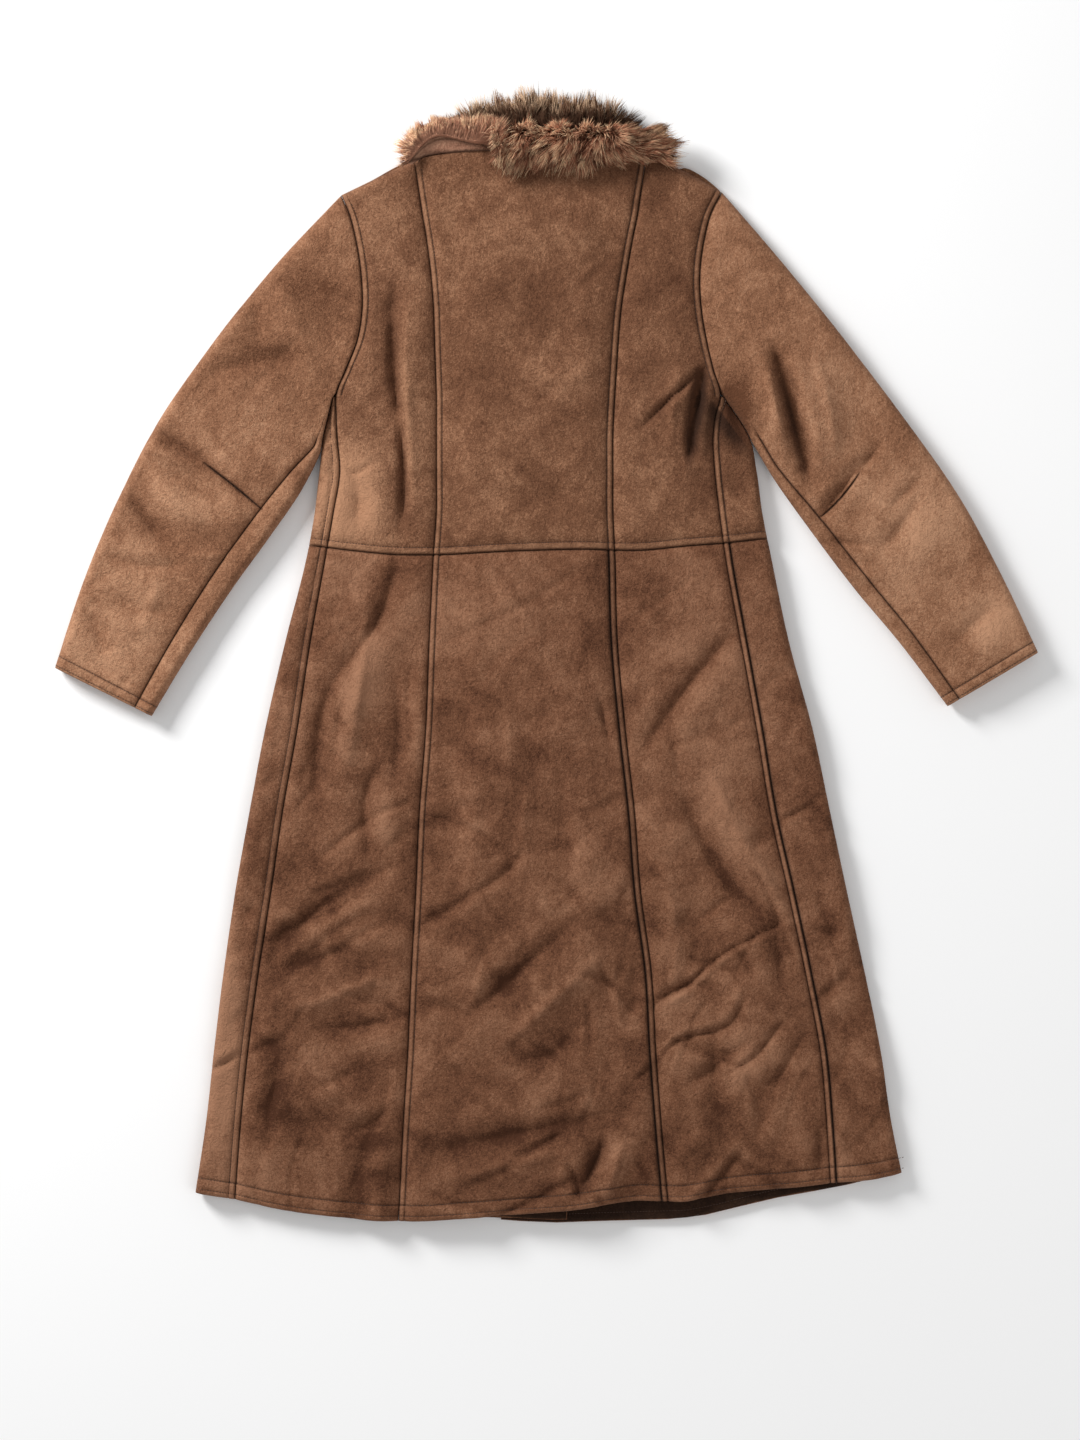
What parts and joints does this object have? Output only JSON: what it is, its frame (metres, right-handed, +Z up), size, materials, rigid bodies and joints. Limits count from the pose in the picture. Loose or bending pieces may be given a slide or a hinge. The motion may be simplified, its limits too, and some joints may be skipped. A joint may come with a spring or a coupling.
{
  "type": "shearling coat",
  "caption": "Long suede shearling coat laid face down, with panelled back, waist seam, two-piece sleeves with elbow darts and a fur collar.",
  "frame": {"origin": "middle of the coat's width and length, on the surface that it lies on", "axes": "+X to the wearer's right, +Y up the coat to the collar, +Z up out of the surface, out of the coat's back"},
  "size_m": [1.098, 1.2615, 0.051],
  "materials": {
    "suede_upper": "mid brown suede with worn lighter nap",
    "suede_skirt": "darker reddish brown mottled suede",
    "suede_sleeve": "lighter tan brown suede",
    "suede_facing": "dark brown suede inside the front hems",
    "suede_undercollar": "mid brown suede under the collar",
    "fur_fall": "long reddish brown fur with pale tips",
    "fur_inner": "long dark brown fur with paler tips"
  },
  "bodies": {
    "root": {"back_upper_middle": "suede_upper", "back_upper_left": "suede_upper", "back_upper_right": "suede_upper", "front_upper_left": "suede_upper", "front_upper_right": "suede_upper", "back_skirt_middle": "suede_skirt", "back_skirt_left": "suede_skirt", "back_skirt_right": "suede_skirt", "front_skirt_left": "suede_skirt", "front_skirt_right": "suede_skirt", "hem_facing_left": "suede_facing", "hem_facing_right": "suede_facing", "sleeve_upper_left": "suede_sleeve", "sleeve_upper_right": "suede_sleeve", "sleeve_under_left": "suede_sleeve", "sleeve_under_right": "suede_sleeve", "undercollar": "suede_undercollar", "collar_fall": "fur_fall", "collar_inner": "fur_inner"}
  },
  "joints": []
}
